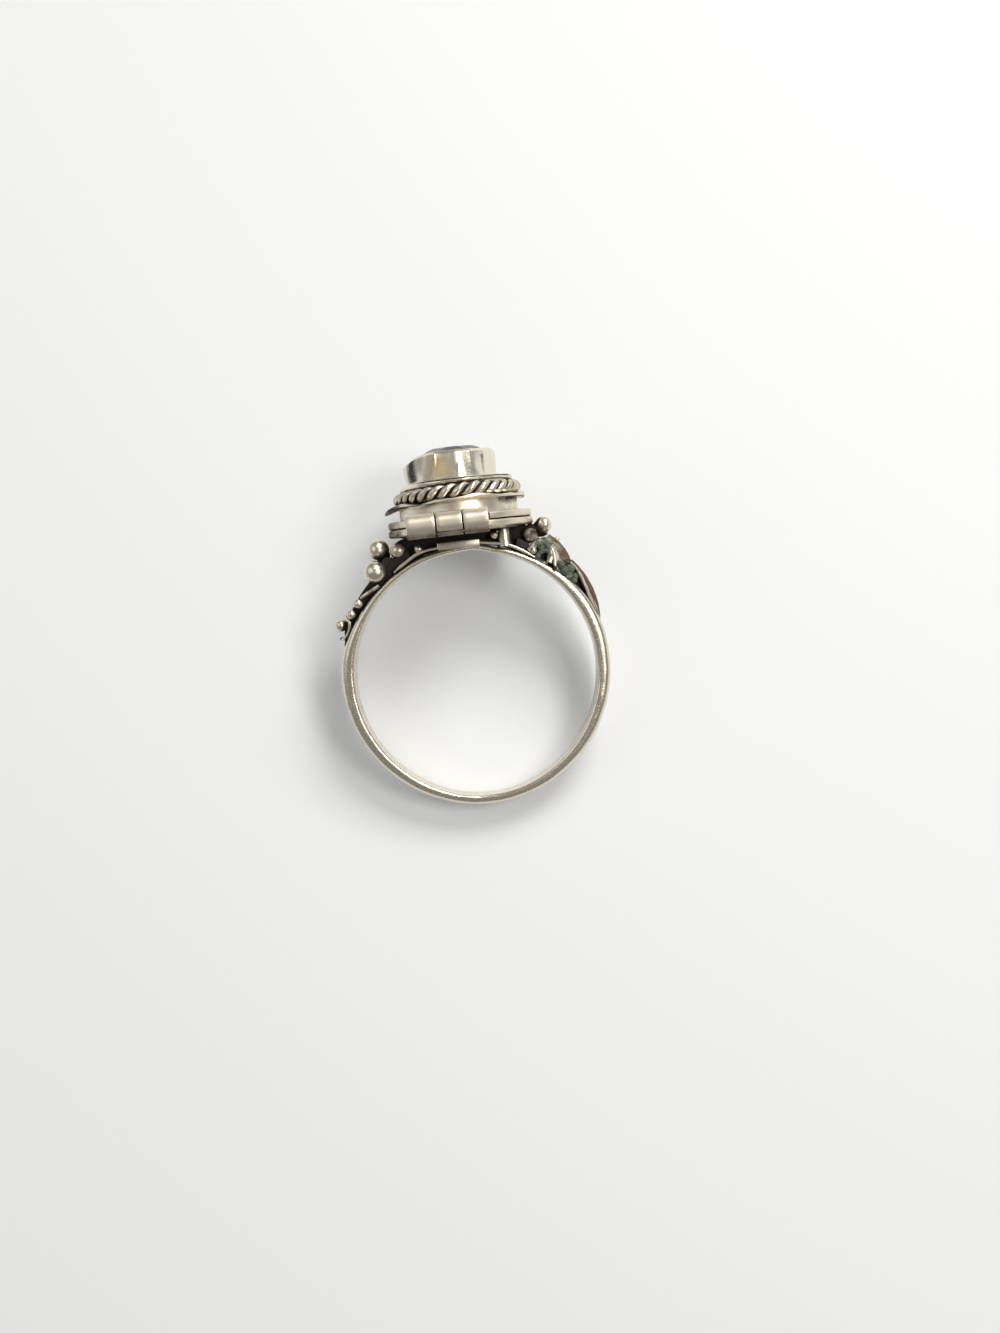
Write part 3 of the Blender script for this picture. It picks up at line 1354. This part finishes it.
@dataclass
class LocketLid:
    """The hollow lid: rim, wall, top plate with its wavy edge, and the middle knuckle.

    The rows of waves are height, number round the plate and shift in degrees.
    """

    head: Head
    rim_top: float = 11.74
    ceiling: float = 12.46
    plate_under: float = 12.74
    plate_top: float = 13.00
    rim_reach: float = 5.38
    wall_reach: float = 4.42
    plate_reach: float = 5.02
    cavity_reach: float = 4.02
    oval: float = 1.16
    on_plate: Ramp = Ramp(12.62, 12.74)
    waves: tuple[tuple[float, int, float], ...] = ((0.07, 5, 40.0), (0.05, 11, 0.0))
    tab: Hill = Hill(180.0, 22.0)
    tab_reach: float = 0.55
    tab_drop: float = 0.38
    droop_right: Ramp = Ramp(2.5, 5.0, 0.12)
    bend: Hill = Hill(123.0, 17.0, 0.11)
    above_plate: Ramp = Ramp(12.96, 13.03, 0.85)
    above_plate_edge: Ramp = Ramp(4.6, 5.0)
    under_plate: Hill = Hill(12.72, 0.12, 0.62)
    under_plate_left: Ramp = Ramp(-2.2, -0.2)
    under_plate_right: Ramp = Ramp(2.4, 3.2)
    crease: Hill = Hill(10.60, 0.10, 0.62)
    toned_left: Ramp = Ramp(-4.6, -3.5, 0.44)
    brown_left: float = 0.6
    finish: SilverFinish = SilverFinish("lid_silver", tone=0.41, roughness=0.38, blackening=0.7, recess=0.35)

    def plate_edge(self, place: Vector) -> Vector:
        """The top plate's thin edge waves, and is bent out and down at its left end."""
        reach = math.hypot(place.x, place.z / self.oval)
        at_edge = Ramp(self.wall_reach + 0.05, self.plate_reach).up(reach) * self.on_plate.up(place.y)
        degrees = math.degrees(math.atan2(place.z, place.x)) % 360
        wave = sum(height * math.sin(math.radians(degrees * count + shift)) for height, count, shift in self.waves)
        tab = self.tab.at(degrees)
        away = Vector((place.x, 0, place.z)).normalized()
        droop = self.tab_drop * tab + self.droop_right.up(place.x) + self.bend.at(degrees)
        return place + at_edge * (away * (self.tab_reach * tab) + Vector((0, wave - droop, 0)))

    def patina(self, place: Vector) -> Stains:
        """Dark left end, creases, seams and top, and brown below the hinge."""
        over = self.above_plate.up(place.y)
        over *= self.above_plate_edge.down(math.hypot(place.x, place.z / self.oval))
        left = self.toned_left.down(place.x)
        ends = max(self.under_plate_left.down(place.x), self.under_plate_right.up(place.x))
        under = self.under_plate.at(place.y) * ends
        black = max(over, left, under, self.crease.at(place.y), self.head.seam(place))
        return black, 0.0, max(self.head.toned_below(place), self.brown_left * left)

    def build(self, bench: Bench) -> None:
        """Build the lid."""
        low = self.head.hinge_height + self.head.parting_gap / 2
        outline = rounded_outline([
            (0.0, self.ceiling, 0.0), (self.cavity_reach, self.ceiling, 0.12), (self.cavity_reach, low, 0.03),
            (self.rim_reach, low, 0.17), (self.rim_reach, self.rim_top, 0.17),
            (self.wall_reach, self.rim_top, 0.05), (self.wall_reach, self.plate_under, 0.06),
            (self.plate_reach, self.plate_under, 0.10), (self.plate_reach, self.plate_top, 0.10),
            (0.0, self.plate_top, 0.0),
        ], steps=5)
        bm = lathe(outline, steps=160)
        make_oval(bm, self.head.extra)
        move_all(bm, self.plate_edge)
        hand_worked(bm, amount=0.035, scale=0.8, seed=17.0)
        self.head.add_hinge(bm, self.head.lid_knuckles, self.head.box_knuckles, low, self.rim_top)
        move_all(bm, self.head.leaning)
        tidy(bm)
        bench.piece("locket_lid", bm, Body.LID, self.finish, ["lid"], self.patina)


@dataclass
class TwistedBorder:
    """Two silver wires twisted together round the foot of the setting."""

    head: Head
    across: float = 4.38
    along: float = 5.22
    height: float = 13.43
    strand_radius: float = 0.262
    strand_offset: float = 0.168
    lobes: int = 33
    sections_per_lobe: int = 8
    rubbed: Ramp = Ramp(0.56, 0.80)
    merge_distance: float = 2e-3
    finish: SilverFinish = SilverFinish("twisted_silver", tone=0.15, roughness=0.33, scratches=0.06, dents=0.06,
                                        blackening=0.5, recess=0.3)

    def stations(self) -> list[float]:
        """Angles of the oval at even steps along it, a thousandth of its length apart."""
        fine, wanted = 4000, 1000
        lengths = [0.0]
        for i in range(fine):
            angle = FULL_TURN * (i + 0.5) / fine
            step = math.hypot(self.across * math.sin(angle), self.along * math.cos(angle))
            lengths.append(lengths[-1] + step)
        angles, i = [], 0
        for n in range(wanted):
            target = lengths[-1] * n / wanted
            while lengths[i + 1] < target:
                i += 1
            angles.append(FULL_TURN * i / fine)
        return angles + [FULL_TURN]

    def bent(self, place: Vector, angles: Sequence[float]) -> Vector:
        """Place round the oval of a point of the straight twist, 1 mm long."""
        spot = min(max(place.z, 0.0), 1.0) * (len(angles) - 1)
        first = min(int(spot), len(angles) - 2)
        angle = angles[first] + (angles[first + 1] - angles[first]) * (spot - first)
        away = Vector((self.along * math.cos(angle), 0, self.across * math.sin(angle))).normalized()
        centre = Vector((self.across * math.cos(angle), self.height, self.along * math.sin(angle)))
        return centre + away * place.x + Vector((0, place.y, 0))

    def build(self, bench: Bench) -> None:
        """Build the border."""
        steps = self.lobes * self.sections_per_lobe
        bm = bmesh.new()
        for side in (-1, 1):
            made = bmesh.ops.create_circle(bm, cap_ends=False, segments=12, radius=self.strand_radius,
                                           matrix=Matrix.Translation((side * self.strand_offset, 0, 0)))
            edges = list({edge for vert in made["verts"] for edge in vert.link_edges})
            bmesh.ops.spin(bm, geom=made["verts"] + edges, cent=(0, 0, 0), axis=(0, 0, -1),
                           angle=math.pi * self.lobes, steps=steps, dvec=(0, 0, 1.0 / steps), use_merge=False)
        layer = bm.verts.layers.float.new("depth")
        crest = self.strand_offset + self.strand_radius
        for vert in bm.verts:
            vert[layer] = self.rubbed.up(math.hypot(vert.co.x, vert.co.y) / crest)
        angles = self.stations()
        move_all(bm, lambda place: self.bent(place, angles))
        move_all(bm, self.head.leaning)
        tidy(bm, self.merge_distance)
        worn = {tuple(vert.co): vert[layer] for vert in bm.verts}
        bench.piece("twisted_border", bm, Body.LID, self.finish, ["rope_border"],
                    lambda place: (1.0 - worn[tuple(place)], 0.0, 0.0), Shading.SOFT)


@dataclass
class StoneSetting:
    """The collet: foot, collar wire and a hand-pushed wall round the stone.

    Args:
        head: the sizes that it shares with the lid.
        outline: reach, height and rounding of each corner of its section, from the plate up and into the pit.
        wave: height, number and shift of the waves along the rim.
    """

    head: Head
    outline: tuple[tuple[float, float, float], ...] = (
        (0.0, 13.03, 0.0), (3.84, 13.03, 0.05), (3.84, 13.76, 0.05), (3.66, 14.01, 0.05), (3.62, 14.56, 0.0),
        (3.44, 16.22, 0.15), (3.26, 16.42, 0.07), (2.88, 16.36, 0.06), (3.02, 16.00, 0.0), (3.02, 15.58, 0.0),
        (2.72, 15.58, 0.0), (2.72, 13.8, 0.1), (0.0, 13.8, 0.0),
    )
    extra: float = 0.98
    collar_extra: float = 0.88
    collar_reach: float = 4.24
    collar_height: float = 14.10
    collar_radius: float = 0.20
    wall_low: float = 14.26
    wall_inside: float = 3.22
    wall_edge: float = 0.3
    flats: int = 17
    flat_widths: tuple[float, float] = (0.65, 1.45)
    widths_seed: int = 4
    flat_seed: int = 50
    flatness: float = 0.9
    flat_uneven: float = 0.010
    flats_rise: Ramp = Ramp(14.16, 15.92)
    upright: Ramp = Ramp(13.86, 14.31)
    outside: Ramp = Ramp(3.06, 3.22)
    flatter_right: float = 0.095
    flatter_low: Ramp = Ramp(14.6, 16.0, 0.045)
    flare_left: Ramp = Ramp(0.55, 1.0, 0.085)
    seam: Hill = Hill(2.98, 0.09, 0.035)
    wave: tuple[float, int, float] = (0.04, 3, 1.0)
    lump_height: float = 0.035
    lump_scale: float = 2.5
    near_drop: float = 0.05
    left_drop: Ramp = Ramp(0.55, 1.0, 0.40)
    far_drop: Ramp = Ramp(0.2, 0.9, 0.07)
    rim_drop: Ramp = Ramp(15.32, 16.37)
    on_wall_low: Ramp = Ramp(14.3, 14.6)
    on_wall_high: Ramp = Ramp(16.1, 16.35)
    stain: Hill = Hill(-0.95, 1.95, 0.68)
    stain_far: float = 0.3
    dark_left: Hill = Hill(-3.1, 0.95, 0.60)
    dark_right: Hill = Hill(2.15, 0.35, 0.45)
    creases: tuple[Hill, ...] = (Hill(14.38, 0.10), Hill(13.84, 0.14))
    crease_black: float = 0.85
    finish: SilverFinish = SilverFinish("setting_silver", bright=(0.82, 0.755, 0.635), tone=0.28, roughness=0.29,
                                        blackening=0.8, recess=0.4, scratches=0.14, brown=(0.46, 0.335, 0.14),
                                        stain_cover=0.35)

    def flat_edges(self) -> list[float]:
        """Angles between the flats that the burnisher left, unevenly wide."""
        draw = random.Random(self.widths_seed)
        widths = [draw.uniform(*self.flat_widths) for _ in range(self.flats)]
        whole = sum(widths)
        edges, at = [], 0.0
        for width in widths:
            edges.append(at)
            at += FULL_TURN * width / whole
        return edges + [FULL_TURN]

    def pushed(self, place: Vector, edges: Sequence[float]) -> Vector:
        """Flatten the wall into its flats, and pull the rim unevenly over the stone."""
        rise, upright = self.flats_rise.up(place.y), self.upright.up(place.y)
        if upright <= 0:
            return place
        angle = math.atan2(place.z, place.x) % FULL_TURN
        index = next(i for i in range(self.flats) if edges[i] <= angle <= edges[i + 1])
        middle = (edges[index] + edges[index + 1]) / 2
        half = (edges[index + 1] - edges[index]) / 2
        chord = math.cos(half) / math.cos(angle - middle)
        even = (math.sin(half) / half + 1) / 2
        push = 1 + (chord - even) * self.flatness * rise
        push += rise * random.Random(index + self.flat_seed).uniform(-self.flat_uneven, self.flat_uneven)
        outer = self.outside.up(math.hypot(place.x, place.z))
        flatter = self.flatter_right + self.flatter_low.down(place.y)
        push -= flatter * outer * upright * Ramp(0.0, 1.0).up(math.cos(angle))
        push += outer * rise * (self.flare_left.up(-math.cos(angle)) + self.seam.at(angle))
        height, count, shift = self.wave
        lump = noise.noise(Vector((angle * self.lump_scale, 0.0, 4.0)))
        lift = height * math.sin(count * angle + shift) + self.lump_height * lump
        lift -= self.near_drop + self.left_drop.up(-math.cos(angle)) + self.far_drop.up(-math.sin(angle))
        return Vector((place.x * push, place.y + lift * self.rim_drop.up(place.y), place.z * push))

    def is_wall(self, edge: bmesh.types.BMEdge) -> bool:
        """Whether an edge runs up the outside of the collet's wall."""
        low, high = sorted(vert.co.y for vert in edge.verts)
        reach = min(math.hypot(vert.co.x, vert.co.z) for vert in edge.verts)
        return low > self.wall_low and high - low > self.wall_edge and reach > self.wall_inside

    def collar(self) -> BMesh:
        """The collar wire round the foot."""
        turns = (FULL_TURN * k / 14 for k in range(14))
        wire = [(self.collar_reach - self.collar_radius + self.collar_radius * math.cos(turn),
                 self.collar_height + self.collar_radius * math.sin(turn)) for turn in turns]
        bm = lathe(wire, steps=144, closed=True)
        make_oval(bm, self.collar_extra)
        hand_worked(bm, amount=0.05, scale=0.9, seed=23.0)
        return bm

    def patina(self, place: Vector) -> Stains:
        """Dark flats and creases, and the yellow stain on the near side."""
        on_wall = self.on_wall_low.up(place.y) * self.on_wall_high.down(place.y)
        stain = self.stain.at(place.x) * on_wall * (1.0 if place.z > 0 else self.stain_far)
        dark = max(self.dark_left.at(place.x), self.dark_right.at(place.x)) * on_wall
        crease = min(1.0, sum(hill.at(place.y) for hill in self.creases))
        return max(dark, self.crease_black * crease), 0.0, stain

    def build(self, bench: Bench) -> None:
        """Build the setting."""
        bm = lathe(rounded_outline(self.outline, steps=5), steps=216)
        bmesh.ops.subdivide_edges(bm, edges=[e for e in bm.edges if self.is_wall(e)], cuts=4,
                                  use_grid_fill=True)
        make_oval(bm, self.extra)
        edges = self.flat_edges()
        move_all(bm, lambda place: self.pushed(place, edges))
        merge(bm, self.collar())
        move_all(bm, self.head.leaning)
        tidy(bm)
        hand_worked(bm, amount=0.03, scale=1.4, seed=29.0)
        bench.piece("stone_setting", bm, Body.LID, self.finish, ["bezel"], self.patina)


@dataclass
class FacetedStone:
    """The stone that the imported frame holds, with its own polish."""

    finish: StoneFinish = StoneFinish()

    def build(self, bench: Bench) -> None:
        """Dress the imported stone."""
        stone = frame["nodes"]["stone"]
        stone.data.materials.clear()
        stone.data.materials.append(bench.dress(self.finish))
        LOG.info("stone: dressed, %d faces", len(stone.data.polygons))


@dataclass(frozen=True)
class Softbox:
    """One square light that faces the ring.

    Args:
        name: its name.
        place: its place, in metres.
        size: its side, in metres.
        power: its power, in watts.
        colour: its colour.
    """

    name: str
    place: Point
    size: float
    power: float
    colour: Point

    def hang(self, target: Vector) -> None:
        """Hang the light, facing a point."""
        data = bpy.data.lights.new(self.name, "AREA")
        data.size, data.energy, data.color = self.size, self.power, self.colour
        made = bpy.data.objects.new(self.name, data)
        spot = Vector(self.place)
        facing = (spot - target).to_track_quat("Z", "Y").to_matrix().to_4x4()
        made.matrix_world = Matrix.Translation(spot) @ facing
        bpy.context.scene.collection.objects.link(made)


@dataclass
class Studio:
    """Pale floor, soft lights and the camera at the photograph's angle.

    Args:
        ring: the ring's frame.
        photo_size: width and height of the photograph, in pixels.
        hole_pixel: where the photograph has the centre of the finger hole.
        pixels_per_mm: its scale there.
        camera_distance: distance of the camera from the ring, in millimetres.
        from_head: how far the camera stands towards the head, in degrees.
        roll: how far the head leans to the left, in degrees.
        sensor: sensor size of the camera's long side, in millimetres.
        floor_half: half the floor's side, in metres.
        room_light: strength of the light from all round.
        backdrop_light: how pale the backdrop is behind the floor.
        softboxes: the lights.
    """

    ring: RingFrame
    photo_size: tuple[int, int] = (1000, 1333)
    hole_pixel: tuple[float, float] = (476.4, 671.8)
    pixels_per_mm: float = 13.3
    camera_distance: float = 160.0
    from_head: float = 2.8
    roll: float = 6.2
    sensor: float = 36.0
    floor_half: float = 1.5
    room_light: float = 0.25
    backdrop_light: float = 0.40
    softboxes: tuple[Softbox, ...] = (
        Softbox("key_light", (0.14, 0.20, 0.24), 0.15, 0.92, (1.0, 0.985, 0.95)),
        Softbox("side_light", (0.16, -0.03, 0.27), 0.10, 0.34, (1.0, 0.97, 0.92)),
        Softbox("fill_light", (-0.20, 0.05, 0.20), 0.20, 0.12, (0.93, 0.97, 1.0)),
    )

    ROOM_COLOUR = (1.0, 0.99, 0.97, 1.0)
    BACKDROP_COLOUR = (1.0, 1.0, 1.0, 1.0)

    def camera(self) -> None:
        """Make the camera."""
        above, roll = math.radians(self.from_head), math.radians(self.roll)
        across, outward, finger = self.ring.across, self.ring.outward, self.ring.finger
        towards = finger * math.cos(above) + outward * math.sin(above)
        upright = outward * math.cos(above) - finger * math.sin(above)
        right = across * math.cos(roll) - upright * math.sin(roll)
        up = across * math.sin(roll) + upright * math.cos(roll)
        width, height = self.photo_size
        off_right = (width / 2 - self.hole_pixel[0]) / self.pixels_per_mm / MM_PER_METRE
        off_up = (self.hole_pixel[1] - height / 2) / self.pixels_per_mm / MM_PER_METRE
        aim = self.ring.hole + right * off_right + up * off_up
        data = bpy.data.cameras.new("photo_camera")
        data.sensor_width = self.sensor
        data.lens = self.pixels_per_mm * self.camera_distance * self.sensor / max(self.photo_size)
        data.clip_start = 0.005
        made = bpy.data.objects.new("photo_camera", data)
        turn = Matrix((right, up, towards)).transposed().to_4x4()
        made.matrix_world = Matrix.Translation(aim + towards * (self.camera_distance / MM_PER_METRE)) @ turn
        bpy.context.scene.collection.objects.link(made)
        bpy.context.scene.camera = made

    def world(self) -> bpy.types.World:
        """Light from all round, with a paler backdrop where the camera sees it."""
        world = bpy.data.worlds.new("studio")
        world.use_nodes = True
        nodes, links = world.node_tree.nodes, world.node_tree.links
        room, backdrop = nodes["Background"], nodes.new("ShaderNodeBackground")
        for node, colour, strength in ((room, self.ROOM_COLOUR, self.room_light),
                                       (backdrop, self.BACKDROP_COLOUR, self.backdrop_light)):
            node.inputs[0].default_value, node.inputs[1].default_value = colour, strength
        seen, mixed = nodes.new("ShaderNodeLightPath"), nodes.new("ShaderNodeMixShader")
        links.new(seen.outputs["Is Camera Ray"], mixed.inputs[0])
        links.new(room.outputs[0], mixed.inputs[1])
        links.new(backdrop.outputs[0], mixed.inputs[2])
        links.new(mixed.outputs[0], nodes["World Output"].inputs[0])
        return world

    def build(self, bench: Bench) -> None:
        """Build the floor, the lights and the camera."""
        bm = bmesh.new()
        bmesh.ops.create_grid(bm, x_segments=4, y_segments=4, size=self.floor_half)
        mesh = bpy.data.meshes.new("pale_floor")
        bm.to_mesh(mesh)
        bm.free()
        mesh.materials.append(bench.dress(FloorFinish()))
        floor = bpy.data.objects.new("pale_floor", mesh)
        bpy.context.scene.collection.objects.link(floor)
        bpy.context.scene.world = self.world()
        for softbox in self.softboxes:
            softbox.hang(self.ring.hole)
        self.camera()
        bpy.context.scene.view_settings.view_transform = "Standard"
        LOG.info("studio: floor, %d softboxes and the camera", len(self.softboxes))


def main() -> None:
    """Build the ring and its studio."""
    logging.basicConfig(level=logging.INFO, format="%(name)s: %(message)s")
    ring = RingFrame.from_record(frame["record"], frame["joints"])
    bench = Bench(ring)
    Studio(ring).build(bench)
    band = FingerBand()
    band.build(bench)
    Saddle(band).build(bench)
    LeftShoulder(band).build(bench)
    RightShoulder(band).build(bench)
    head = Head(*ring.hinge_line)
    LocketBox(head).build(bench)
    LocketLid(head).build(bench)
    TwistedBorder(head).build(bench)
    StoneSetting(head).build(bench)
    FacetedStone().build(bench)


if __name__ == "__main__":
    main()
